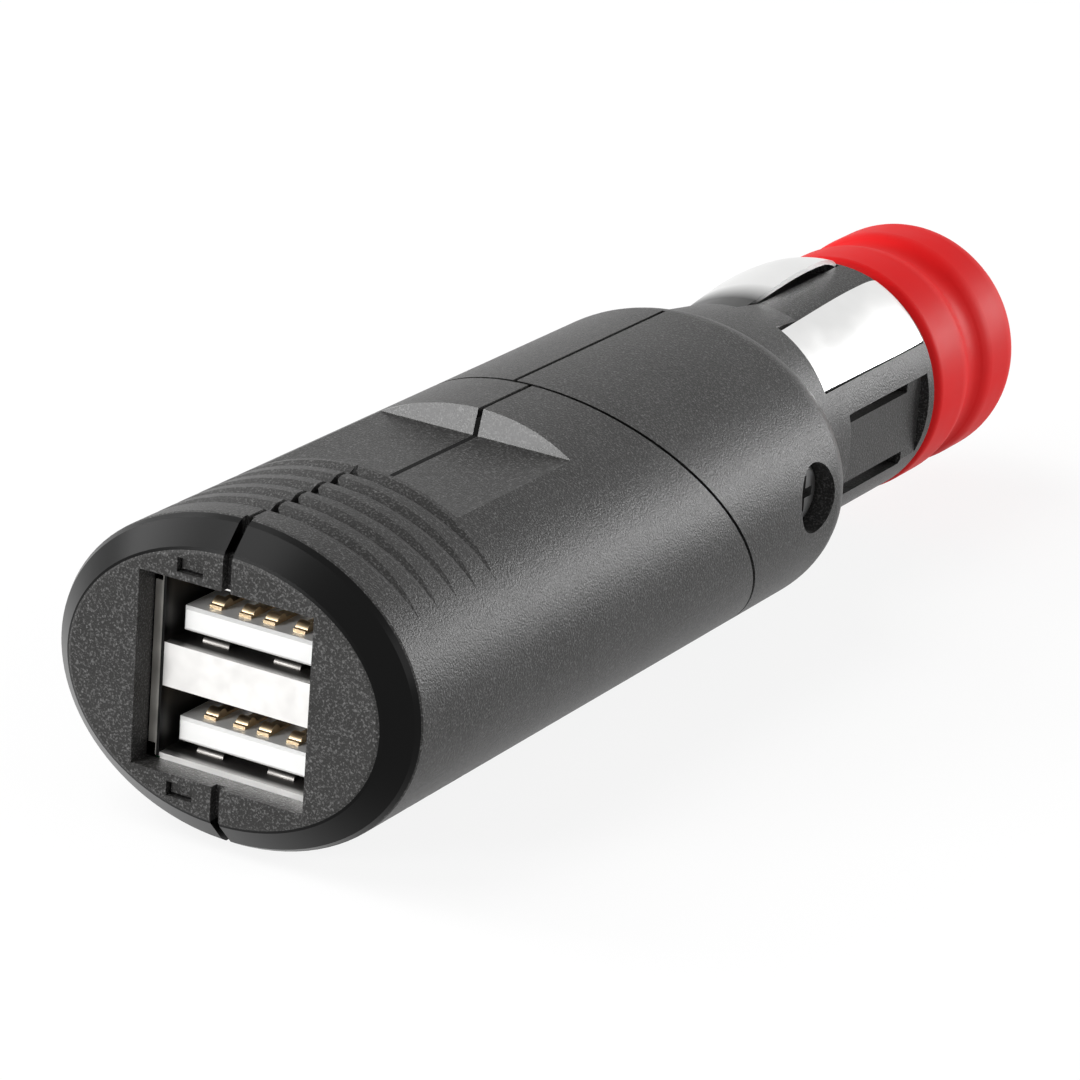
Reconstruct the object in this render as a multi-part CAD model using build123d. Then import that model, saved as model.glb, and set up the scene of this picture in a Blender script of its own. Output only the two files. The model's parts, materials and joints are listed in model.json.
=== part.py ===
"""Twin USB charging plug for a car's power socket, with a head that turns on a slanted joint.

The plug axis runs along Y, the USB face looks towards -Y and the contact pin points to +Y.
Lengths along the axis are stations, measured from the USB face; the export shifts them so that
the origin lies on the axis in the middle of the collar's seating land. Millimetres, +Z up.
"""
import os
from math import acos, cos, degrees, radians, sin, sqrt

from build123d import *

# Oval body shared by the head and the plug
half_width = 15.15
half_height = 12.25
wall = 1.8
seam_width = 0.35
rim_seam_width = 0.75
seam_depth = 0.7

# Slanted joint: the tilt that makes the oval's section a true circle
swivel_station = 49.8
swivel_tilt = degrees(acos(half_height / half_width))
joint_gap = 0.3
joint_wall = 2.0
sleeve_radius = 8.4
sleeve_bore = 5.5
sleeve_flange = 9.6
sleeve_flange_thickness = 1.5
flange_clearance = 0.15
running_clearance = 0.05

# Head: front rim, USB opening, finger notch and grip ribs
rim_inset_side = 2.15
rim_inset_top = 2.25
rim_depth = 2.05
rim_face_edge = 0.2
rim_side_edge = 0.3
face_wall = 2.0
opening_width = 14.5
opening_height = 14.7
notch_depth = 2.0
notch_start = 16.8
notch_end = 32.9
notch_lean = 0.6
notch_wall = 1.4
rib_count = 5
rib_first = 5.36
rib_pitch = 2.55
rib_groove = 1.7
rib_depth = 0.4
rib_side_ease = 0.25
seam_tooth_length = 1.5
seam_tooth_width = 1.3
seam_tooth_depth = 1.0

# Latches that hold the head shells together at the face
latch_centre = 3.05
latch_width = 1.9
latch_height_share = 0.3
latch_lift_share = 0.415
latch_set_back = 0.45
latch_arm_thickness = 1.2
latch_clearance = 0.15
latch_anchor_bite = 0.5

# Stacked USB-A receptacle
port_width = 12.5
port_height = 5.12
port_pitch = 8.42
usb_drop = 0.13
usb_depth = 17.4
usb_sheet = 0.3
usb_tab_width = 0.9
usb_tab_cut = 0.6
tongue_width = 11.1
tongue_thickness = 1.84
tongue_lift = 0.66
tongue_set_back = 1.3
tongue_edge = 0.22
insulator_depth = 7.0
insulator_clearance = 0.06
contact_rows = (-3.5, -1.0, 1.0, 3.5)
contact_width = 1.0
contact_thickness = 0.25
contact_set_back = 0.9
contact_bump = 0.65
contact_bump_set_back = 0.9
spring_finger_offset = 3.0
spring_finger_radius = 0.42
spring_finger_width = 2.2
spring_finger_station = 4.1

# Circuit board and its components
board_margin = 0.35
board_thickness = 1.2
board_front = 3.6
board_rear = 45.0
board_rest_width = 2.0
board_rest_stations = (8.0, 40.0)
choke_station = 30.4
choke_radius = 5.4
choke_core_radius = 3.0
choke_height = 6.4
choke_rim = 1.0
winding_inset = 0.3
capacitor_radius = 3.15
capacitor_height = 8.0
capacitor_offset = 5.0
capacitor_station = 38.0
capacitor_groove = 0.3
capacitor_groove_lift = 1.0
capacitor_groove_height = 0.8
chip_size = (5.0, 4.0, 1.5)
chip_place = (-4.2, 21.9)
diode_size = (4.3, 3.6, 2.2)
diode_place = (4.2, 21.9)
resistor_size = (1.25, 2.0, 0.5)
resistor_places = (-6.0, -3.6, 3.6, 6.0)
resistor_station = 42.6
cable_radius = 1.2
cable_hole = 1.8
cable_run = 5.0
cable_slack = 1.3

# Plug shells: shoulder, barrel and nose
plug_parting = 1.6
shoulder_end = 68.6
shoulder_round = 4.2
shoulder_room_gap = 2.1
shoulder_room_round = 3.3
fairing_start = 65.0
fairing_end = 77.5
fairing_inset_side = 4.45
fairing_inset_top = 0.15
barrel_radius = 10.1
barrel_end = 92.0
barrel_bore = 7.0
barrel_bore_end = 82.0
nose_radius = 6.0
nose_set_back = 0.8

# Side contacts: two above the axis and one opposite them
contact_turn = 11.5
contact_spacing = 58.0
contact_arc = 35.0
contact_start = 73.6
contact_end = 91.6
contact_sheet = 0.4
contact_root_lift = 0.0
contact_crown_lift = 1.05
contact_crown_station = 87.5
contact_tail_lift = 0.1
contact_root_slope = 0.08
contact_tail_slope = -0.9
contact_travel = 0.4
pocket_arc_clearance = 1.3
pocket_end_clearance = 0.15
pocket_floor_clearance = 0.12
bridge_thickness = 0.4
bridge_start = 74.5
bridge_length = 5.0

# Latch panels on the barrel's sides
panel_start = 76.6
panel_end = 91.0
panel_top = 2.9
panel_bottom = -4.6
panel_depth = 0.9
panel_slot = 1.15
panel_slot_depth = 1.6
panel_slot_start = 77.4
panel_slot_end = 88.4

# Sprung centre pin
pin_radius = 2.5
pin_tip_share = 0.8
pin_flange_radius = 3.3
pin_flange_thickness = 1.5
pin_tail_radius = 2.0
pin_tail_length = 3.0
pin_reach = 4.0
pin_travel = 3.0
chamber_radius = 3.6
chamber_end = 99.5
pin_stop_gap = 0.05
terminal_radius = 4.5
terminal_thickness = 1.0
terminal_station = 84.2
terminal_clearance = 0.05
spring_radius = 2.75
spring_wire = 0.32
spring_turns = 7

# Housing screw
screw_station = 61.2
screw_lift = 1.2
counterbore_radius = 2.8
screw_sink = 1.5
screw_head_radius = 2.5
screw_head_height = 2.2
screw_radius = 1.5
screw_hole_clearance = 0.2
screw_thread_gap = 0.02
screw_reach = 8.0
screw_slot = 0.8
screw_slot_share = 0.6
screw_tip_gap = 0.5
boss_wall = 1.4
left_boss_radius = 3.2

# Adapter collar
collar_gap = 0.15
collar_clearance = 0.05
collar_land_radius = 10.25
collar_edge_radius = 9.5
collar_edge = 1.0
collar_land = 4.8
collar_groove_radius = 9.3
collar_groove_half = 2.2
collar_rear_land = 4.6
collar_tip_radius = 7.8
collar_tip_round = 4.2
collar_edge_soften = 1.1
collar_soften = 3.3

# Derived places
face_half_width = half_width - rim_inset_side
face_half_height = half_height - rim_inset_top
notch_top = half_height - notch_depth
cavity_limit = notch_top - notch_wall
face_margin = face_half_height - opening_height / 2
latch_lift = opening_height / 2 + latch_lift_share * face_margin
latch_height = latch_height_share * face_margin
contact_crown = barrel_radius + contact_crown_lift
usb_front = face_wall
usb_rear = usb_front + usb_depth
divider_height = port_pitch - port_height
usb_half_width = port_width / 2 + usb_sheet
usb_top = port_pitch / 2 + port_height / 2 - usb_drop
usb_bottom = -port_pitch / 2 - port_height / 2 - usb_drop
board_top = usb_bottom - usb_sheet
board_width = port_width + 2 * usb_tab_width + 2 * board_margin
tongue_front = usb_front + tongue_set_back
insulator_front = usb_rear - insulator_depth
collar_start = barrel_end + collar_gap
collar_land_start = collar_start + collar_edge
collar_seat = collar_land_start + collar_land / 2
collar_groove = collar_land_start + collar_land + collar_groove_half
collar_end = collar_groove + collar_groove_half + collar_rear_land + collar_tip_round
nose_end = collar_end - nose_set_back
pin_flange_station = chamber_end - pin_stop_gap
pin_tip = nose_end + pin_reach
parting = -plug_parting
reach = 80.0

to_frame = Pos(0, -collar_seat, 0)
swivel = Plane(
    (0, swivel_station, 0),
    x_dir=(1, 0, 0),
    z_dir=(0, cos(radians(swivel_tilt)), sin(radians(swivel_tilt))),
)


def station_plane(station):
    return Plane((0, station, 0), x_dir=(-1, 0, 0), z_dir=(0, 1, 0))


def oval(start, end, across, tall):
    return extrude(station_plane(start) * Ellipse(across, tall), amount=end - start)


def rod(start, end, radius):
    return extrude(station_plane(start) * Circle(radius), amount=end - start)


def block(x, y, z):
    """Box between the given limits along each axis."""
    size = (x[1] - x[0], y[1] - y[0], z[1] - z[0])
    return Pos((x[0] + x[1]) / 2, (y[0] + y[1]) / 2, (z[0] + z[1]) / 2) * Box(*size)


def cross_rod(start, end, radius, station, lift):
    """Cylinder along X between two limits."""
    place = Pos((start + end) / 2, station, lift) * Rot(0, 90, 0)
    return place * Cylinder(radius, end - start)


def turned(points):
    """Solid of revolution about the plug axis from (radius, station) points."""
    return revolve(make_face(Polyline(*points, close=True)), Axis.Y)


def swivel_disc(start, end, radius):
    """Cylinder about the slanted joint axis, between two distances from the joint plane."""
    return swivel * Pos(0, 0, (start + end) / 2) * Cylinder(radius, end - start)


def behind_joint(distance):
    """Everything on the plug's side of a plane parallel to the joint."""
    return swivel * Pos(0, 0, distance + reach) * Box(2 * reach, 2 * reach, 2 * reach)


def ahead_of_joint(distance):
    return swivel * Pos(0, 0, distance - reach) * Box(2 * reach, 2 * reach, 2 * reach)


def side(sign, plane_x=0.0):
    """Half space to the right (+1) or left (-1) of a vertical plane."""
    return Pos(plane_x + sign * reach, 0, 0) * Box(2 * reach, 4 * reach, 2 * reach)


def seam_groove(start, end, plane_x):
    """Thin groove along the outside of the oval where two shells meet."""
    skin = oval(start, end, half_width + 1, half_height + 1)
    skin -= oval(start, end, half_width - seam_depth, half_height - seam_depth)
    slab = block((plane_x - seam_width / 2, plane_x + seam_width / 2), (start, end), (-reach, reach))
    return skin & slab


def rib_grooves():
    """Grooves across the top and bottom that fade out towards the sides."""
    grooves = []
    for index in range(rib_count):
        middle = rib_first + index * rib_pitch
        start = middle - rib_groove / 2
        end = middle + rib_groove / 2
        outer = station_plane(start) * Ellipse(half_width + rib_side_ease, half_height)
        waist = station_plane(middle) * Ellipse(half_width + rib_side_ease, half_height - rib_depth)
        far = station_plane(end) * Ellipse(half_width + rib_side_ease, half_height)
        core = loft([outer, waist], ruled=True) + loft([waist, far], ruled=True)
        grooves.append(oval(start, end, half_width + 1, half_height + 1) - core)
    return grooves


def seam_teeth(sign):
    """Small triangular pockets beside the seam, one in each groove."""
    teeth = []
    for index in range(rib_count):
        middle = rib_first + index * rib_pitch
        half = seam_tooth_length / 2
        outline = Polyline((0, middle - half), (0, middle + half), (seam_tooth_width, middle - half), close=True)
        floor = sign * (half_height - seam_tooth_depth)
        tooth = extrude(Pos(0, 0, floor) * make_face(outline), amount=sign * 2 * seam_tooth_depth, dir=(0, 0, 1))
        teeth.append(tooth)
    return teeth


def finger_notch(sign):
    """Flat cut across the oval with a leaning rear wall."""
    top = half_height + 1
    lean = notch_lean * (top - notch_top) / notch_depth
    outline = Polyline(
        (notch_start, sign * top),
        (notch_start, sign * notch_top),
        (notch_end, sign * notch_top),
        (notch_end + lean, sign * top),
        close=True,
    )
    return extrude(Plane.YZ * make_face(outline), amount=half_width + 1, both=True)


def rim_section(station, share, trim=0.0):
    """Oval on the rim's slope, from the face (share 0) to the full body (share 1)."""
    across = half_width - (1 - share) * rim_inset_side - trim
    tall = half_height - (1 - share) * rim_inset_top - trim
    return station_plane(station) * Ellipse(across, tall)


def head_rim():
    """Sloping rim round the face, with its two edges broken."""
    inner = rim_face_edge / rim_depth
    outer = 1 - rim_side_edge / rim_depth
    sections = [
        rim_section(0, 0, rim_face_edge),
        rim_section(inner * rim_depth, inner),
        rim_section(outer * rim_depth, outer),
        rim_section(rim_depth + rim_side_edge, 1),
    ]
    return loft(sections, ruled=True)


def rim_seam():
    """Wider groove where the seam crosses the face and the rim."""
    end = rim_depth + seam_depth
    core = loft(
        [rim_section(seam_depth, 0, seam_depth / 2), rim_section(end, 1, seam_depth)],
        ruled=True,
    )
    slab = block((-rim_seam_width / 2, rim_seam_width / 2), (-1, end), (-reach, reach))
    return slab - core


def head_body():
    """Whole head before it is split into two shells."""
    rim_end = rim_depth + rim_side_edge
    head = head_rim() + oval(rim_end, swivel_station + reach, half_width, half_height)
    head -= behind_joint(-joint_gap / 2)
    inner_width = half_width - wall
    inner_height = half_height - wall
    notch_room = notch_end + notch_lean + wall
    front_room = oval(face_wall, notch_room, inner_width, inner_height)
    front_room &= block((-reach, reach), (0, reach), (-cavity_limit, cavity_limit))
    rear_room = oval(notch_room, swivel_station + reach, inner_width, inner_height)
    room = front_room + rear_room
    head -= room - behind_joint(-joint_gap / 2 - joint_wall)
    head -= swivel_disc(-joint_wall - 1, joint_gap, sleeve_radius + running_clearance)
    for sign in (1, -1):
        head -= finger_notch(sign)
    for groove in rib_grooves():
        head -= groove
    head -= seam_groove(-1, swivel_station + reach, 0)
    head -= rim_seam()
    opening = block(
        (-opening_width / 2, opening_width / 2), (-1, face_wall + 1), (-opening_height / 2, opening_height / 2)
    )
    return head - opening


def board_rests():
    """Low bars on the floor of the head that carry the circuit board."""
    rests = []
    for station in board_rest_stations:
        y = (station - board_rest_width / 2, station + board_rest_width / 2)
        floor = -half_height + wall / 2
        rests.append(block((-board_width / 4, board_width / 4), y, (floor, board_top - board_thickness)))
    return rests


def latch_hook(sign):
    """Arm on the right shell that reaches across the seam and shows in the left shell's window."""
    lift = (sign * latch_lift - latch_height / 2, sign * latch_lift + latch_height / 2)
    far = -latch_centre - latch_width / 2
    near = -latch_centre + latch_width / 2
    arm_y = (face_wall + latch_clearance, face_wall + latch_clearance + latch_arm_thickness)
    root = face_half_width / 2
    arm = block((far, root), arm_y, lift)
    hook = block((far, near), (latch_set_back, arm_y[1]), lift)
    anchor = block((root - latch_arm_thickness, root), (face_wall - latch_anchor_bite, arm_y[1]), lift)
    return arm + hook + anchor


def latch_window(sign):
    grow = latch_clearance
    lift = (sign * latch_lift - latch_height / 2 - grow, sign * latch_lift + latch_height / 2 + grow)
    x = (-latch_centre - latch_width / 2 - grow, -latch_centre + latch_width / 2 + grow)
    return block(x, (-1, face_wall + 1), lift)


def head_shells():
    head = head_body()
    for bar in board_rests():
        head += bar
    left = head & side(-1)
    right = head & side(1)
    for sign in (1, -1):
        for tooth in seam_teeth(sign):
            right -= tooth
        left -= latch_window(sign)
        right += latch_hook(sign)
    return left, right


def port_centres():
    return (port_pitch / 2 - usb_drop, -port_pitch / 2 - usb_drop)


def usb_shell():
    """Folded metal shell with two ports, a channel between them and tabs at the mouth."""
    depth = (usb_front, usb_rear)
    shell = block((-usb_half_width, usb_half_width), depth, (usb_bottom - usb_sheet, usb_top + usb_sheet))
    for centre in port_centres():
        port = (centre - port_height / 2, centre + port_height / 2)
        shell -= block((-port_width / 2, port_width / 2), (usb_front - 1, usb_rear + 1), port)
    channel = (-divider_height / 2 - usb_drop + usb_sheet, divider_height / 2 - usb_drop - usb_sheet)
    shell -= block((-port_width / 2, port_width / 2), (usb_front + usb_sheet, usb_rear + 1), channel)
    tab_y = (usb_front, usb_front + usb_sheet)
    side_tab = (usb_bottom + usb_tab_cut, usb_top - usb_tab_cut)
    across = port_width / 2 - usb_tab_cut / 4
    for sign in (1, -1):
        x = sorted((sign * port_width / 2, sign * (port_width / 2 + usb_tab_width)))
        shell += block(x, tab_y, side_tab)
    shell += block((-across, across), tab_y, (usb_top, usb_top + usb_tab_width))
    shell += block((-across, across), tab_y, (usb_bottom - usb_tab_width, usb_bottom))
    for centre in port_centres():
        for sign in (1, -1):
            middle = sign * spring_finger_offset
            x = (middle - spring_finger_width / 2, middle + spring_finger_width / 2)
            floor = centre - port_height / 2
            finger = cross_rod(x[0], x[1], spring_finger_radius, spring_finger_station, floor)
            shell += finger & block(x, depth, (floor - usb_sheet, floor + spring_finger_radius))
    return shell


def usb_insulator(centre):
    """White moulding with a tongue in front and a block that closes the back of the port."""
    low = centre - port_height / 2 + tongue_lift
    half = tongue_width / 2
    tongue = block((-half, half), (tongue_front, insulator_front + 1), (low, low + tongue_thickness))
    front_edges = tongue.faces().sort_by(Axis.Y)[0].edges()
    tongue = chamfer(front_edges, tongue_edge)
    inner = port_width / 2 - insulator_clearance
    tall = port_height / 2 - insulator_clearance
    base = block((-inner, inner), (insulator_front, usb_rear), (centre - tall, centre + tall))
    return tongue + base


def usb_contacts(centre):
    """Four contact springs lying on the upper side of a tongue."""
    top = centre - port_height / 2 + tongue_lift + tongue_thickness
    start = tongue_front + contact_set_back
    contacts = []
    for row in contact_rows:
        x = (row - contact_width / 2, row + contact_width / 2)
        strip = block(x, (start, insulator_front), (top, top + contact_thickness))
        crown = start + contact_bump_set_back
        bump = cross_rod(x[0], x[1], contact_bump, crown, top)
        bump &= block(x, (start, insulator_front), (top, top + contact_bump))
        contacts.append(strip + bump)
    return Compound(children=contacts)


def circuit_board():
    height = (board_top - board_thickness, board_top)
    return block((-board_width / 2, board_width / 2), (board_front, board_rear), height)


def board_block(size, place):
    width, length, height = size
    x, station = place
    return block(
        (x - width / 2, x + width / 2), (station - length / 2, station + length / 2), (board_top, board_top + height)
    )


def standing(radius, base, height, x, station):
    return Pos(x, station, base + height / 2) * Cylinder(radius, height)


def choke_core():
    core = standing(choke_core_radius, board_top, choke_height, 0, choke_station)
    core += standing(choke_radius, board_top, choke_rim, 0, choke_station)
    return core + standing(choke_radius, board_top + choke_height - choke_rim, choke_rim, 0, choke_station)


def choke_winding():
    base = board_top + choke_rim
    height = choke_height - 2 * choke_rim
    ring = standing(choke_radius - winding_inset, base, height, 0, choke_station)
    return ring - standing(choke_core_radius, base, height, 0, choke_station)


def capacitor(sign):
    """Electrolytic can with a rolled groove near its base."""
    can = standing(capacitor_radius, board_top, capacitor_height, sign * capacitor_offset, capacitor_station)
    can = fillet(can.faces().sort_by(Axis.Z)[-1].edges(), capacitor_groove)
    base = board_top + capacitor_groove_lift
    waist = capacitor_radius - capacitor_groove
    place = (base, capacitor_groove_height, sign * capacitor_offset, capacitor_station)
    return can - (standing(capacitor_radius + 1, *place) - standing(waist, *place))


def chip_resistors():
    return Compound(children=[board_block(resistor_size, (x, resistor_station)) for x in resistor_places])


def head_cable():
    """Supply cable from the board to the middle of the slanted joint."""
    cable = swivel_disc(-reach / 2, -joint_gap / 2, cable_radius)
    return cable & block((-reach, reach), (0, 2 * reach), (board_top, reach))


def plug_cable():
    """Supply cable from the joint over the screw boss to the pin terminal."""
    axis = Vector(0, cos(radians(swivel_tilt)), sin(radians(swivel_tilt)))
    start = Vector(0, swivel_station, 0) + axis * (joint_gap / 2)
    lead = start + axis * (joint_wall + sleeve_flange_thickness)
    boss_radius = counterbore_radius + boss_wall
    over = Vector(0, screw_station, screw_lift + boss_radius + cable_radius + cable_slack)
    entry = Vector(0, screw_station + boss_radius + cable_run / 2, barrel_bore - cable_radius - cable_slack)
    middle = Vector(0, terminal_station - cable_run, 0)
    finish = Vector(0, terminal_station, 0)
    path = FilletPolyline(start, lead, over, entry, middle, finish, radius=2 * cable_radius)
    section = Plane(path @ 0, z_dir=path % 0) * Circle(cable_radius)
    return sweep(section, path=path)


def swivel_sleeve():
    """Flanged tube that both housings close around and that leads the cable through."""
    inner = joint_gap / 2 + joint_wall + flange_clearance
    outer = inner + sleeve_flange_thickness
    sleeve = swivel_disc(-outer, outer, sleeve_radius)
    sleeve += swivel_disc(inner, outer, sleeve_flange)
    sleeve += swivel_disc(-outer, -inner, sleeve_flange)
    return sleeve - swivel_disc(-outer - 1, outer + 1, sleeve_bore)


def contact_angles():
    """Middle of each contact, turned from the top towards the right."""
    return [contact_turn - contact_spacing / 2, contact_turn + contact_spacing / 2, contact_turn + 180]


def on_barrel(profile, arc, angle):
    """Swing a (radius, station) profile through an arc centred on an angle from the top."""
    return Rot(0, angle - 90 - arc / 2, 0) * revolve(profile, Axis.Y, revolution_arc=arc)


def side_contact(angle):
    """Bowed spring leaf, curved round the barrel."""
    root = barrel_radius + contact_root_lift
    outer = [
        Vector(root, contact_start),
        Vector(contact_crown, contact_crown_station),
        Vector(barrel_radius + contact_tail_lift, contact_end),
    ]
    inner = [point - Vector(contact_sheet, 0) for point in outer]
    slopes = [(contact_root_slope, 1), (contact_tail_slope, 1)]
    top = Spline(*outer, tangents=slopes)
    under = Spline(*inner, tangents=slopes)
    profile = make_face([top, Line(outer[-1], inner[-1]), under, Line(inner[0], outer[0])])
    return on_barrel(profile, contact_arc, angle)


def contact_pocket(angle):
    floor = barrel_radius + contact_root_lift - contact_sheet - contact_travel - pocket_floor_clearance
    y = (contact_start - pocket_end_clearance, contact_end + pocket_end_clearance)
    points = [(floor, y[0]), (contact_crown + 1, y[0]), (contact_crown + 1, y[1]), (floor, y[1])]
    profile = make_face(Polyline(*points, close=True))
    return on_barrel(profile, contact_arc + 2 * pocket_arc_clearance, angle)


def contact_bridge():
    """Ring inside the barrel that ties the side contacts together."""
    ring = rod(bridge_start, bridge_start + bridge_length, barrel_bore - terminal_clearance)
    return ring - rod(bridge_start, bridge_start + bridge_length, barrel_bore - terminal_clearance - bridge_thickness)


def latch_panel():
    """Flat recess on the right side of the barrel, with slots along its two long edges."""
    flat = barrel_radius - panel_depth
    panel = block((flat, reach), (panel_start, panel_end), (panel_bottom, panel_top))
    for edge in (panel_top - panel_slot, panel_bottom):
        slot = block(
            (flat - panel_slot_depth, reach), (panel_slot_start, panel_slot_end), (edge, edge + panel_slot)
        )
        panel += slot
    return panel


def fairing():
    """Taper that leads from the oval shoulder down to the round barrel."""
    root = Ellipse(half_width - fairing_inset_side, half_height - fairing_inset_top)
    tip = Ellipse(barrel_radius, barrel_radius)
    return loft([station_plane(fairing_start) * root, station_plane(fairing_end) * tip], ruled=True)


def plug_outline():
    body = oval(swivel_station - reach / 2, shoulder_end, half_width, half_height)
    body = fillet(body.faces().sort_by(Axis.Y)[-1].edges(), shoulder_round)
    body -= ahead_of_joint(joint_gap / 2)
    stem = turned(
        [
            (0, fairing_end),
            (barrel_radius, fairing_end),
            (barrel_radius, barrel_end),
            (nose_radius, barrel_end),
            (nose_radius, nose_end),
            (0, nose_end),
        ]
    )
    return body + fairing() + stem


def pin_room():
    """Cable entry, terminal groove, spring chamber and pin guide in one stepped bore."""
    terminal_end = terminal_station + terminal_thickness
    return turned(
        [
            (0, barrel_bore_end - 1),
            (cable_hole, barrel_bore_end - 1),
            (cable_hole, terminal_station),
            (terminal_radius + terminal_clearance, terminal_station),
            (terminal_radius + terminal_clearance, terminal_end),
            (chamber_radius, terminal_end),
            (chamber_radius, chamber_end),
            (pin_radius + running_clearance, chamber_end),
            (pin_radius + running_clearance, nose_end + 1),
            (0, nose_end + 1),
        ]
    )


def plug_body():
    """Whole plug housing before it is split into two shells."""
    body = plug_outline()
    room_end = shoulder_end - shoulder_room_gap
    room = oval(swivel_station - reach / 2, room_end, half_width - wall, half_height - wall)
    room = fillet(room.faces().sort_by(Axis.Y)[-1].edges(), shoulder_room_round)
    room += rod(screw_station, barrel_bore_end, barrel_bore)
    room -= ahead_of_joint(joint_gap / 2 + joint_wall)
    screw_seat = half_width - screw_sink - screw_head_height
    boss_radius = counterbore_radius + boss_wall
    boss = cross_rod(parting, half_width, boss_radius, screw_station, screw_lift)
    boss += cross_rod(-half_width, parting, left_boss_radius, screw_station, screw_lift)
    room -= boss
    body -= room
    body -= swivel_disc(0, joint_wall + 1, sleeve_radius + running_clearance)
    body -= cross_rod(screw_seat, reach, counterbore_radius, screw_station, screw_lift)
    body -= cross_rod(parting, screw_seat, screw_radius + screw_hole_clearance, screw_station, screw_lift)
    body -= cross_rod(-screw_reach, parting, screw_radius + screw_thread_gap, screw_station, screw_lift)
    body -= pin_room()
    for angle in contact_angles():
        body -= contact_pocket(angle)
    body -= latch_panel()
    body -= Rot(0, 180, 0) * latch_panel()
    return body - seam_groove(swivel_station - reach / 2, shoulder_end - shoulder_round, parting)


def plug_shells():
    body = plug_body()
    return body & side(-1, parting), body & side(1, parting)


def housing_screw():
    seat = half_width - screw_sink - screw_head_height
    head = cross_rod(seat, seat + screw_head_height, screw_head_radius, screw_station, screw_lift)
    head = fillet(head.faces().sort_by(Axis.X)[-1].edges(), screw_head_height / 4)
    depth = (seat + screw_head_height / 2, reach)
    arm = screw_head_radius * screw_slot_share
    for size_y, size_z in ((arm, screw_slot / 2), (screw_slot / 2, arm)):
        head -= block(
            depth,
            (screw_station - size_y, screw_station + size_y),
            (screw_lift - size_z, screw_lift + size_z),
        )
    return head + cross_rod(screw_tip_gap - screw_reach, seat, screw_radius, screw_station, screw_lift)


def pin_terminal():
    return rod(terminal_station, terminal_station + terminal_thickness, terminal_radius)


def centre_pin():
    """Stepped pin with a rounded tip; its flange stops at the end of the spring chamber."""
    flange_start = pin_flange_station - pin_flange_thickness
    pin = rod(flange_start, pin_tip, pin_radius)
    pin = fillet(pin.faces().sort_by(Axis.Y)[-1].edges(), pin_radius * pin_tip_share)
    pin += rod(flange_start, pin_flange_station, pin_flange_radius)
    return pin + rod(flange_start - pin_tail_length, flange_start, pin_tail_radius)


def pin_spring():
    """Coil between the terminal and the pin's flange."""
    start = terminal_station + terminal_thickness + spring_wire
    length = pin_flange_station - pin_flange_thickness - spring_wire - start
    path = Helix(pitch=length / spring_turns, height=length, radius=spring_radius)
    section = Plane(path @ 0, z_dir=path % 0) * Circle(spring_wire)
    coil = sweep(section, path=path, is_frenet=True)
    return Pos(0, start, 0) * Rot(-90, 0, 0) * coil


def adapter_collar():
    """Ring with two rounded lands and a groove, slid over the nose."""
    land_end = collar_land_start + collar_land
    rear_land = collar_groove + collar_groove_half
    rear_land_end = rear_land + collar_rear_land
    bore = nose_radius + collar_clearance
    outer = [
        (collar_edge_radius, collar_start),
        (collar_land_radius, collar_land_start),
        (collar_land_radius, land_end),
        (collar_groove_radius, collar_groove),
        (collar_land_radius, rear_land),
        (collar_land_radius, rear_land_end),
        (collar_tip_radius, collar_end),
    ]
    profile = make_face(Polyline((bore, collar_start), *outer, (bore, collar_end), close=True))
    rounded = [v for v in profile.vertices() if v.X > collar_tip_radius and v.Y > collar_land_start + 1]
    profile = fillet(rounded, collar_soften)
    edge = [v for v in profile.vertices() if v.X > collar_tip_radius and abs(v.Y - collar_land_start) < 0.01]
    return revolve(fillet(edge, collar_edge_soften), Axis.Y)


def build_parts():
    head_left, head_right = head_shells()
    plug_left, plug_right = plug_shells()
    upper, lower = port_centres()
    parts = {
        "head_shell_left": head_left,
        "head_shell_right": head_right,
        "usb_shell": usb_shell(),
        "usb_insulator_upper": usb_insulator(upper),
        "usb_insulator_lower": usb_insulator(lower),
        "usb_contacts_upper": usb_contacts(upper),
        "usb_contacts_lower": usb_contacts(lower),
        "circuit_board": circuit_board(),
        "choke_core": choke_core(),
        "choke_winding": choke_winding(),
        "input_capacitor": capacitor(-1),
        "output_capacitor": capacitor(1),
        "converter_chip": board_block(chip_size, chip_place),
        "rectifier_diode": board_block(diode_size, diode_place),
        "chip_resistors": chip_resistors(),
        "head_cable": head_cable(),
        "plug_shell_left": plug_left,
        "plug_shell_right": plug_right,
        "swivel_sleeve": swivel_sleeve(),
        "housing_screw": housing_screw(),
        "plug_cable": plug_cable(),
        "contact_bridge": contact_bridge(),
        "pin_terminal": pin_terminal(),
        "pin_spring": pin_spring(),
        "centre_pin": centre_pin(),
        "adapter_collar": adapter_collar(),
    }
    places = ("upper_left", "upper_right", "lower")
    for place, angle in zip(places, contact_angles()):
        parts["side_contact_" + place] = side_contact(angle)
    return parts


os.makedirs("parts", exist_ok=True)
for name, shape in build_parts().items():
    export_step(to_frame * shape, "parts/" + name + ".step")
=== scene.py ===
import json
import math

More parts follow.
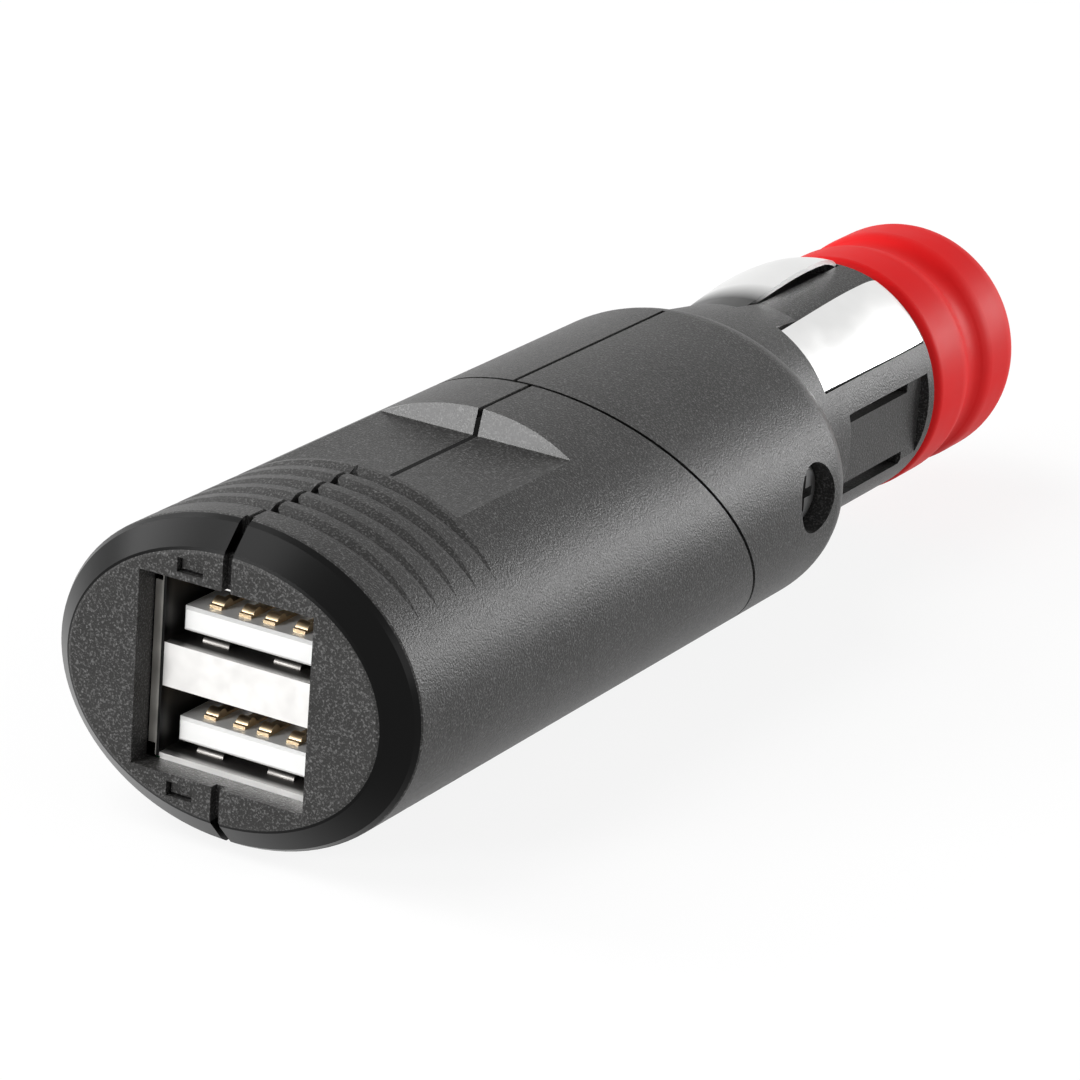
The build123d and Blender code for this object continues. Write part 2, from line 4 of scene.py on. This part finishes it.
import bmesh
import bpy
from mathutils import Euler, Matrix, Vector


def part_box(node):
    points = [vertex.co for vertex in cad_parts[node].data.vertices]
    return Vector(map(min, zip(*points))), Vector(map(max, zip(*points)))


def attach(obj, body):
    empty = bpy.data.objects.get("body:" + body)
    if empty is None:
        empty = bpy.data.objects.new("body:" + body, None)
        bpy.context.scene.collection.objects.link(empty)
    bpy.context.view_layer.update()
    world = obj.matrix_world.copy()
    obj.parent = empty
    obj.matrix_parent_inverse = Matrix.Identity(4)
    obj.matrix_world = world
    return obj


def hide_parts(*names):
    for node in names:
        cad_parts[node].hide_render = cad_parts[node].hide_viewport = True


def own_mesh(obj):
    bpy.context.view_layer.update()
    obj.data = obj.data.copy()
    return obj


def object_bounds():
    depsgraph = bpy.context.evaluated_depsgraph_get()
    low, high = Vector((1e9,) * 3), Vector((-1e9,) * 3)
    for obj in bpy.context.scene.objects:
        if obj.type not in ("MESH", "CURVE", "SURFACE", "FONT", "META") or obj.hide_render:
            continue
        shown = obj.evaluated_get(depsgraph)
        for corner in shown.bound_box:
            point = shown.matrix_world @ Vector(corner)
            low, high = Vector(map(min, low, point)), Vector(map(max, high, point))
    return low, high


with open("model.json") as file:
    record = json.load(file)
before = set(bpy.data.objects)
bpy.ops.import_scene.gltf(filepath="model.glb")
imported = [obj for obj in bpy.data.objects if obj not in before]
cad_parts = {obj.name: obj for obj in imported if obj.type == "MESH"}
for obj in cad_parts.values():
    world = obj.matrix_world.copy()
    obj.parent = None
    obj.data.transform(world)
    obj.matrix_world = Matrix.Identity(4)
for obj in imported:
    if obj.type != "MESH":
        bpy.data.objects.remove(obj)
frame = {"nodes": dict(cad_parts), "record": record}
cadLow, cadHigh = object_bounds()  # the solids' own box
nodes = frame["nodes"]
print("frame loaded:", len(nodes), "solids")

fullRange = (0.0, 1.0)
usualSpecular = 0.5


def feed(tree, socket, value):
    # a link where the value comes out of another node, or else the plain value
    if isinstance(value, bpy.types.NodeSocket):
        tree.links.new(value, socket)
    else:
        socket.default_value = value


def mathNode(tree, operation, *values):
    node = tree.nodes.new("ShaderNodeMath")
    node.operation = operation
    for socket, value in zip(node.inputs, values):
        feed(tree, socket, value)
    return node.outputs["Value"]


def between(tree, value, low, high):
    # 1 where the value lies between the two limits
    past = mathNode(tree, "GREATER_THAN", value, low)
    before = mathNode(tree, "LESS_THAN", value, high)
    return mathNode(tree, "MULTIPLY", past, before)


def remap(tree, value, old, new):
    node = tree.nodes.new("ShaderNodeMapRange")
    labels = ("Value", "From Min", "From Max", "To Min", "To Max")
    for label, number in zip(labels, (value, *old, *new)):
        feed(tree, node.inputs[label], number)
    return node.outputs["Result"]


def noiseNode(tree, vector, scale, detail, roughness):
    node = tree.nodes.new("ShaderNodeTexNoise")
    labels = ("Vector", "Scale", "Detail", "Roughness")
    for label, value in zip(labels, (vector, scale, detail, roughness)):
        feed(tree, node.inputs[label], value)
    return node.outputs["Fac"]


def splitAxes(tree, vector):
    split = tree.nodes.new("ShaderNodeSeparateXYZ")
    feed(tree, split.inputs["Vector"], vector)
    return [split.outputs[axis] for axis in "XYZ"]


def mixNode(tree, kind, mask, first, second):
    # goes from the first to the second as the mask goes from 0 to 1
    node = tree.nodes.new("ShaderNodeMix")
    node.data_type = kind
    for label, value in (("Factor", mask), ("A", first), ("B", second)):
        feed(tree, node.inputs[label], value)
    return node.outputs["Result"]


def mixValue(tree, mask, first, second):
    return mixNode(tree, "FLOAT", mask, first, second)


def mixColour(tree, mask, first, second):
    ends = [(*end, 1.0) if isinstance(end, tuple) else end for end in (first, second)]
    return mixNode(tree, "RGBA", mask, *ends)


def addBump(tree, shader, height, strength, distance):
    bump = tree.nodes.new("ShaderNodeBump")
    labels = ("Height", "Strength", "Distance")
    for label, value in zip(labels, (height, strength, distance)):
        feed(tree, bump.inputs[label], value)
    feed(tree, shader.inputs["Normal"], bump.outputs["Normal"])


def newMaterial(name, colour, roughness, metallic, specular):
    material = bpy.data.materials.new(name)
    material.use_nodes = True
    material.diffuse_color = (*colour, 1.0)
    tree = material.node_tree
    shader = tree.nodes["Principled BSDF"]
    shader.inputs["Base Color"].default_value = (*colour, 1.0)
    shader.inputs["Roughness"].default_value = roughness
    shader.inputs["Metallic"].default_value = metallic
    shader.inputs["Specular IOR Level"].default_value = specular
    coords = tree.nodes.new("ShaderNodeTexCoord")
    return material, tree, shader, coords.outputs["Object"]


def newGroup(name, inputs, outputs):
    group = bpy.data.node_groups.new(name, "ShaderNodeTree")
    for label, kind in inputs.items():
        group.interface.new_socket(name=label, in_out="INPUT", socket_type=kind)
    for label in outputs:
        group.interface.new_socket(name=label, in_out="OUTPUT", socket_type="NodeSocketFloat")
    inside = group.nodes.new("NodeGroupInput")
    outside = group.nodes.new("NodeGroupOutput")
    return group, inside.outputs, outside.inputs


def addGroup(tree, group, coords):
    node = tree.nodes.new("ShaderNodeGroup")
    node.node_tree = group
    feed(tree, node.inputs["Vector"], coords)
    return node


grainSet = {
    "pebbleSoft": 0.6, "pebbleShare": 0.6,
    "fineDetail": 2.0, "fineRough": 0.6, "paintedGlintRange": (0.51, 0.74),
    "slowScale": 160.0, "slowDetail": 3.0, "slowRough": 0.55, "slowRange": (0.3, 0.7),
}


def makeGrainGroup():
    # spark-eroded mould grain: a pebbled height, pale flecks that are painted glints, and a slow random
    # change of tone
    spec = grainSet
    inputs = {"Vector": "NodeSocketVector", "Grain": "NodeSocketFloat"}
    group, inside, outside = newGroup("mouldGrain", inputs, ("Height", "PaintedGlint", "Shade"))
    vector = inside["Vector"]
    grain = inside["Grain"]
    pebble = group.nodes.new("ShaderNodeTexVoronoi")
    pebble.feature = "SMOOTH_F1"
    for label, value in (("Vector", vector), ("Scale", grain), ("Smoothness", spec["pebbleSoft"])):
        feed(group, pebble.inputs[label], value)
    raised = mathNode(group, "MULTIPLY", pebble.outputs["Distance"], spec["pebbleShare"])
    fine = noiseNode(group, vector, grain, spec["fineDetail"], spec["fineRough"])
    slow = noiseNode(group, vector, spec["slowScale"], spec["slowDetail"], spec["slowRough"])
    feed(group, outside["Height"], mathNode(group, "ADD", raised, fine))
    feed(group, outside["PaintedGlint"], remap(group, fine, spec["paintedGlintRange"], fullRange))
    feed(group, outside["Shade"], remap(group, slow, spec["slowRange"], fullRange))
    return group


# the sloping rim's place, with a near-black colour that is a painted dark reflection, and a lower
# roughness
rimPaintedDarkSet = {
    "halfWidth": 0.0130, "halfHeight": 0.0100, "rear": -0.09335,
    "colour": (0.010, 0.010, 0.010), "roughness": 0.30,
}

notchSet = {"front": -0.06272, "rear": -0.06203, "floor": 0.01028, "roughness": 0.25, "calm": 0.85}

seamSet = {
    "half": 0.00022, "front": -0.07876, "rear": -0.06203, "height": 0.0102,
    "colour": (0.002, 0.002, 0.002), "roughness": 1.0,
}


def makePlaceGroup():
    # picks out the sloping rim round the face, the notches' rear walls and the joint in the notches
    inputs = {"Vector": "NodeSocketVector"}
    group, inside, outside = newGroup("smoothPlaces", inputs, ("Rim", "Notch", "Seam"))
    x, y, z = splitAxes(group, inside["Vector"])
    across = mathNode(group, "POWER", mathNode(group, "DIVIDE", x, rimPaintedDarkSet["halfWidth"]), 2.0)
    tall = mathNode(group, "POWER", mathNode(group, "DIVIDE", z, rimPaintedDarkSet["halfHeight"]), 2.0)
    outer = mathNode(group, "GREATER_THAN", mathNode(group, "ADD", across, tall), 1.0)
    front = mathNode(group, "LESS_THAN", y, rimPaintedDarkSet["rear"])
    feed(group, outside["Rim"], mathNode(group, "MULTIPLY", outer, front))
    lift = mathNode(group, "ABSOLUTE", z)
    wall = between(group, y, notchSet["front"], notchSet["rear"])
    above = mathNode(group, "GREATER_THAN", lift, notchSet["floor"])
    feed(group, outside["Notch"], mathNode(group, "MULTIPLY", wall, above))
    run = between(group, y, seamSet["front"], seamSet["rear"])
    high = mathNode(group, "GREATER_THAN", lift, seamSet["height"])
    middle = mathNode(group, "LESS_THAN", mathNode(group, "ABSOLUTE", x), seamSet["half"])
    along = mathNode(group, "MULTIPLY", run, high)
    feed(group, outside["Seam"], mathNode(group, "MULTIPLY", middle, along))
    return group


grainGroup = makeGrainGroup()
placeGroup = makePlaceGroup()

# the pale fleck colour is that of the painted glints in the grain
charcoalSet = {
    "dark": (0.019, 0.0185, 0.018), "light": (0.025, 0.0245, 0.024), "paintedGlint": (0.120, 0.119, 0.118),
    "grain": 6200.0, "bump": 0.32, "depth": 0.00010, "rough": (0.34, 0.48), "specular": 0.17,
    "heightRange": (0.4, 1.1), "flatHeight": 0.5,
}


def charcoalPlastic():
    spec = charcoalSet
    material, tree, shader, coords = newMaterial(
        "charcoalPlastic", spec["light"], spec["rough"][1], 0.0, spec["specular"]
    )
    grain = addGroup(tree, grainGroup, coords)
    feed(tree, grain.inputs["Grain"], spec["grain"])
    height = grain.outputs["Height"]
    places = addGroup(tree, placeGroup, coords)
    rim, notch, seam = [places.outputs[label] for label in ("Rim", "Notch", "Seam")]
    colour = mixColour(tree, grain.outputs["Shade"], spec["dark"], spec["light"])
    # painted glints: pale flecks mixed into the base colour
    colour = mixColour(tree, grain.outputs["PaintedGlint"], colour, spec["paintedGlint"])
    colour = mixColour(tree, seam, colour, seamSet["colour"])
    # painted dark reflection: the rim gets a near-black colour
    colour = mixColour(tree, rim, colour, rimPaintedDarkSet["colour"])
    feed(tree, shader.inputs["Base Color"], colour)
    rough = remap(tree, height, spec["heightRange"], spec["rough"])
    rough = mixValue(tree, notch, rough, notchSet["roughness"])
    rough = mixValue(tree, seam, rough, seamSet["roughness"])
    rough = mixValue(tree, rim, rough, rimPaintedDarkSet["roughness"])
    feed(tree, shader.inputs["Roughness"], rough)
    feed(tree, shader.inputs["Metallic"], rim)  # painted dark reflection: metallic with a near-black colour, so the polished rim gives back almost no light
    calm = mathNode(tree, "MAXIMUM", rim, mathNode(tree, "MULTIPLY", notch, notchSet["calm"]))
    level = mixValue(tree, calm, height, spec["flatHeight"])
    addBump(tree, shader, level, spec["bump"], spec["depth"])
    return material


glossSet = {"detail": 3.0, "roughness": 0.55, "range": (0.3, 0.7), "depth": 0.00005}


def addGloss(tree, shader, coords, spec):
    # a faint change of gloss and height over the surface
    noise = noiseNode(tree, coords, spec["scale"], glossSet["detail"], glossSet["roughness"])
    feed(tree, shader.inputs["Roughness"], remap(tree, noise, glossSet["range"], spec["rough"]))
    addBump(tree, shader, noise, spec["bump"], glossSet["depth"])
    return noise


# the inside colour, over the depth range, is painted shade deeper in the shell
usbMetalAndPaintedShadeSet = {
    "mouth": (0.74, 0.73, 0.715), "inside": (0.12, 0.115, 0.11), "paintedShadeDepthRange": (-0.09335, -0.0927),
    # the tab colour is painted shade on the less lit side tabs, a darker, warmer grey
    "paintedShadeTab": (0.60, 0.58, 0.54), "tabAt": 0.00632, "fold": (0.03, 0.03, 0.03), "foldHalf": 0.00014,
    "scale": 600.0, "rough": (0.32, 0.44), "bump": 0.04,
}


def usbNickel():
    # bright at the folded mouth, with painted shade making it darker further in and on the side tabs, and
    # a dark line where the side tabs fold
    spec = usbMetalAndPaintedShadeSet
    material, tree, shader, coords = newMaterial(
        "usbNickel", spec["mouth"], spec["rough"][1], 1.0, usualSpecular
    )
    x, y, z = splitAxes(tree, coords)
    out = mathNode(tree, "ABSOLUTE", x)
    paintedShadeTab = mathNode(tree, "GREATER_THAN", out, spec["tabAt"])
    fold = mathNode(tree, "COMPARE", out, spec["tabAt"], spec["foldHalf"])
    # painted shade: the side tabs darker than the mouth
    colour = mixColour(tree, paintedShadeTab, spec["mouth"], spec["paintedShadeTab"])
    colour = mixColour(tree, fold, colour, spec["fold"])
    # painted shade: darker further into the shell
    colour = mixColour(tree, remap(tree, y, spec["paintedShadeDepthRange"], fullRange), colour, spec["inside"])
    feed(tree, shader.inputs["Base Color"], colour)
    addGloss(tree, shader, coords, spec)
    return material


# the dark front colour is painted shade on the contact's front end
leafSet = {
    "paintedShade": (0.035, 0.035, 0.034), "bright": (0.72, 0.72, 0.715), "alongRange": (-0.0185, -0.0150),
    "scale": 300.0, "rough": (0.32, 0.42), "bump": 0.02,
}


def paintedShadeLeaf():
    # the upper left contact, with painted shade darkening its front end where it comes out of the housing
    spec = leafSet
    material, tree, shader, coords = newMaterial(
        "contactNickelPaintedShade", spec["bright"], spec["rough"][1], 1.0, usualSpecular
    )
    x, y, z = splitAxes(tree, coords)
    along = remap(tree, y, spec["alongRange"], fullRange)
    # painted shade: dark at the front end, fading to the bright nickel
    colour = mixColour(tree, along, spec["paintedShade"], spec["bright"])
    feed(tree, shader.inputs["Base Color"], colour)
    addGloss(tree, shader, coords, spec)
    return material


# the plainer finishes, by the record's material slots
plainSet = {
    "tongue_plastic": {
        "name": "tongueWhite", "dark": (0.80, 0.80, 0.79), "light": (0.84, 0.84, 0.83),
        "scale": 700.0, "rough": (0.35, 0.45), "metallic": 0.0, "bump": 0.04,
    },
    "gold_contact": {
        "name": "contactGold", "dark": (0.70, 0.54, 0.34), "light": (0.80, 0.63, 0.42),
        "scale": 900.0, "rough": (0.30, 0.42), "metallic": 1.0, "bump": 0.04,
    },
    "board": {
        "name": "boardGreen", "dark": (0.03, 0.17, 0.08), "light": (0.05, 0.22, 0.11),
        "scale": 500.0, "rough": (0.30, 0.42), "metallic": 0.0, "bump": 0.1,
    },
    "ferrite": {
        "name": "ferriteGrey", "dark": (0.08, 0.08, 0.085), "light": (0.12, 0.12, 0.125),
        "scale": 1500.0, "rough": (0.55, 0.7), "metallic": 0.0, "bump": 0.1,
    },
    "copper": {
        "name": "windingCopper", "dark": (0.60, 0.27, 0.12), "light": (0.74, 0.38, 0.20),
        "scale": 2500.0, "rough": (0.25, 0.4), "metallic": 1.0, "bump": 0.4,
    },
    "capacitor_can": {
        "name": "canAluminium", "dark": (0.74, 0.74, 0.75), "light": (0.82, 0.82, 0.83),
        "scale": 800.0, "rough": (0.25, 0.38), "metallic": 1.0, "bump": 0.1,
    },
    "black_package": {
        "name": "packageBlack", "dark": (0.022, 0.022, 0.022), "light": (0.034, 0.034, 0.034),
        "scale": 1800.0, "rough": (0.5, 0.65), "metallic": 0.0, "bump": 0.1,
    },
    "cable_jacket": {
        "name": "cableJacket", "dark": (0.03, 0.03, 0.03), "light": (0.045, 0.045, 0.045),
        "scale": 900.0, "rough": (0.45, 0.6), "metallic": 0.0, "bump": 0.1,
    },
    "sleeve_plastic": {
        "name": "sleevePlastic", "dark": (0.08, 0.08, 0.08), "light": (0.11, 0.11, 0.11),
        "scale": 900.0, "rough": (0.4, 0.55), "metallic": 0.0, "bump": 0.1,
    },
    "screw_steel": {
        "name": "screwSteel", "dark": (0.16, 0.16, 0.16), "light": (0.24, 0.24, 0.24),
        "scale": 900.0, "rough": (0.35, 0.5), "metallic": 1.0, "bump": 0.04,
    },
    "contact_nickel": {
        "name": "contactNickel", "dark": (0.68, 0.68, 0.675), "light": (0.75, 0.75, 0.745),
        "scale": 300.0, "rough": (0.32, 0.42), "metallic": 1.0, "bump": 0.02,
    },
    "inner_metal": {
        "name": "innerBrass", "dark": (0.68, 0.52, 0.24), "light": (0.78, 0.62, 0.32),
        "scale": 700.0, "rough": (0.3, 0.42), "metallic": 1.0, "bump": 0.1,
    },
    "pin_metal": {
        "name": "pinNickel", "dark": (0.76, 0.76, 0.75), "light": (0.84, 0.84, 0.83),
        "scale": 700.0, "rough": (0.2, 0.3), "metallic": 1.0, "bump": 0.1,
    },
    "spring_steel": {
        "name": "springSteel", "dark": (0.58, 0.58, 0.58), "light": (0.68, 0.68, 0.68),
        "scale": 900.0, "rough": (0.28, 0.4), "metallic": 1.0, "bump": 0.1,
    },
    "collar_red": {
        "name": "collarRed", "dark": (0.52, 0.006, 0.007), "light": (0.60, 0.009, 0.010),
        "scale": 300.0, "rough": (0.46, 0.54), "metallic": 0.0, "bump": 0.04, "specular": 0.07,
    },
}


def plainFinish(spec):
    # a smooth finish with a faint change of shade as well as gloss
    specular = spec.get("specular", usualSpecular)
    material, tree, shader, coords = newMaterial(
        spec["name"], spec["light"], spec["rough"][1], spec["metallic"], specular
    )
    noise = addGloss(tree, shader, coords, spec)
    feed(tree, shader.inputs["Base Color"], mixColour(tree, noise, spec["dark"], spec["light"]))
    return material


finishes = {slot: plainFinish(spec) for slot, spec in plainSet.items()}
finishes["body_plastic"] = charcoalPlastic()
finishes["usb_metal"] = usbNickel()

slotOf = {row["node"]: row["material_slot"] for row in frame["record"]["subparts"]}
finishOf = {name: finishes[slotOf[name]] for name in nodes}
# painted shade on the upper left contact's front end
finishOf["side_contact_upper_left"] = paintedShadeLeaf()
for name, node in nodes.items():
    node.data.materials.clear()
    node.data.materials.append(finishOf[name])
print("finishes given to", len(nodes), "solids")

coilSet = {
    "radius": 0.00275, "wire": 0.00032, "turns": 7, "turnSteps": 28, "wireSides": 12, "travel": 0.003,
}


def buildPinCoil():
    # the pin's spring, which in the real plug shortens as the pin is pressed; here it is wound at one
    # fixed length
    low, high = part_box("pin_spring")
    length = high[1] - low[1]
    steps = coilSet["turns"] * coilSet["turnSteps"]
    rise = (length - 2 * coilSet["wire"]) / steps
    shape = bmesh.new()
    bmesh.ops.create_circle(shape, segments=coilSet["wireSides"], radius=coilSet["wire"])
    start = (coilSet["radius"], low[1] + coilSet["wire"], 0)
    bmesh.ops.translate(shape, verts=shape.verts, vec=start)
    bmesh.ops.spin(
        shape, geom=shape.verts[:] + shape.edges[:], cent=(0, 0, 0), axis=(0, 1, 0),
        dvec=(0, rise, 0), angle=2 * math.pi * coilSet["turns"], steps=steps,
    )
    ends = [edge for edge in shape.edges if edge.is_boundary]
    bmesh.ops.holes_fill(shape, edges=ends, sides=coilSet["wireSides"])
    bmesh.ops.recalc_face_normals(shape, faces=shape.faces)
    for face in shape.faces:
        face.smooth = True
    mesh = bpy.data.meshes.new("pinCoil")
    shape.to_mesh(mesh)
    shape.free()
    mesh.materials.append(finishes["spring_steel"])
    coil = bpy.data.objects.new("pinCoil", mesh)
    bpy.context.scene.collection.objects.link(coil)
    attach(coil, "plug")
    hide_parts("pin_spring")
    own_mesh(coil)


buildPinCoil()
print("pin coil wound")

stageSet = {
    "floorSize": 6.0, "floorDrop": 0.00002, "floorWhite": 0.86, "floorRough": 0.9, "floorShine": 0.1,
    "floorGlow": 0.86, "ambient": 0.22,
}

# each lamp's place, size, strength and the point it faces
lampSet = {
    "topBox": {"at": (-0.36, -0.34, 0.80), "size": (0.6, 0.5), "power": 5.0, "aim": (0, -0.04, 0)},
    "leftBox": {"at": (-0.78, -0.14, 0.50), "size": (0.5, 0.5), "power": 4.5, "aim": (0, -0.06, 0)},
    "rearBox": {"at": (0.55, 0.85, 0.22), "size": (0.5, 0.3), "power": 8.5, "aim": (0, -0.03, 0)},
    "rightBox": {"at": (0.85, -0.05, 0.45), "size": (0.5, 0.5), "power": 1.6, "aim": (0, -0.03, 0)},
    "frontBox": {"at": (-0.44, -0.95, 0.20), "size": (0.36, 0.28), "power": 8.0, "aim": (0, -0.06, 0)},
}

# place in metres, turn in degrees, focal length and frame in the photograph's pixels
cameraSet = {
    "at": (0.173294, -0.364322, 0.130324), "turn": (69.75838, -4.10718, 30.49679),
    "focal": 4950.877, "frame": 1080, "sensor": 36.0, "clip": 0.01,
}


def seenWhite(tree, path):
    # 1 for the rays that should meet a white background
    direct = mathNode(tree, "MAXIMUM", path.outputs["Is Camera Ray"], path.outputs["Is Transmission Ray"])
    return mathNode(tree, "MAXIMUM", direct, path.outputs["Is Glossy Ray"])


def buildWorld():
    world = bpy.data.worlds.new("studioWorld")
    bpy.context.scene.world = world
    world.use_nodes = True
    tree = world.node_tree
    back = tree.nodes["Background"]
    back.inputs["Color"].default_value = (1, 1, 1, 1)
    path = tree.nodes.new("ShaderNodeLightPath")
    strength = remap(tree, seenWhite(tree, path), fullRange, (stageSet["ambient"], 1.0))
    feed(tree, back.inputs["Strength"], strength)


def buildFloor():
    mesh = bpy.data.meshes.new("studioFloor")
    shape = bmesh.new()
    bmesh.ops.create_grid(shape, x_segments=1, y_segments=1, size=stageSet["floorSize"] / 2)
    bmesh.ops.translate(shape, verts=shape.verts, vec=(0, 0, cadLow.z - stageSet["floorDrop"]))
    shape.to_mesh(mesh)
    shape.free()
    floor = bpy.data.objects.new("studioFloor", mesh)
    bpy.context.scene.collection.objects.link(floor)
    material = bpy.data.materials.new("floorWhite")
    material.use_nodes = True
    tree = material.node_tree
    shader = tree.nodes["Principled BSDF"]
    white = stageSet["floorWhite"]
    shader.inputs["Base Color"].default_value = (white, white, white, 1)
    shader.inputs["Roughness"].default_value = stageSet["floorRough"]
    shader.inputs["Specular IOR Level"].default_value = stageSet["floorShine"]
    glow = tree.nodes.new("ShaderNodeEmission")
    mix = tree.nodes.new("ShaderNodeMixShader")
    path = tree.nodes.new("ShaderNodeLightPath")
    share = remap(tree, seenWhite(tree, path), fullRange, (0.0, stageSet["floorGlow"]))
    feed(tree, mix.inputs["Fac"], share)
    tree.links.new(shader.outputs["BSDF"], mix.inputs[1])
    tree.links.new(glow.outputs["Emission"], mix.inputs[2])
    tree.links.new(mix.outputs["Shader"], tree.nodes["Material Output"].inputs["Surface"])
    mesh.materials.append(material)


def buildLamps():
    for name, spec in lampSet.items():
        data = bpy.data.lights.new(name, "AREA")
        data.shape = "RECTANGLE"
        data.size, data.size_y = spec["size"]
        data.energy = spec["power"]
        lamp = bpy.data.objects.new(name, data)
        lamp.location = spec["at"]
        aim = Vector(spec["aim"]) - Vector(spec["at"])
        lamp.rotation_euler = aim.to_track_quat("-Z", "Y").to_euler()
        bpy.context.scene.collection.objects.link(lamp)


def buildCamera():
    data = bpy.data.cameras.new("photoCamera")
    data.sensor_fit = "HORIZONTAL"
    data.sensor_width = cameraSet["sensor"]
    data.lens = cameraSet["focal"] * cameraSet["sensor"] / cameraSet["frame"]
    data.clip_start = cameraSet["clip"]
    camera = bpy.data.objects.new("photoCamera", data)
    camera.location = cameraSet["at"]
    camera.rotation_euler = Euler([math.radians(angle) for angle in cameraSet["turn"]], "XYZ")
    bpy.context.scene.collection.objects.link(camera)
    bpy.context.scene.camera = camera


buildWorld()
buildFloor()
buildLamps()
buildCamera()
bpy.context.scene.view_settings.view_transform = "Standard"
print("stage, lamps and camera set")
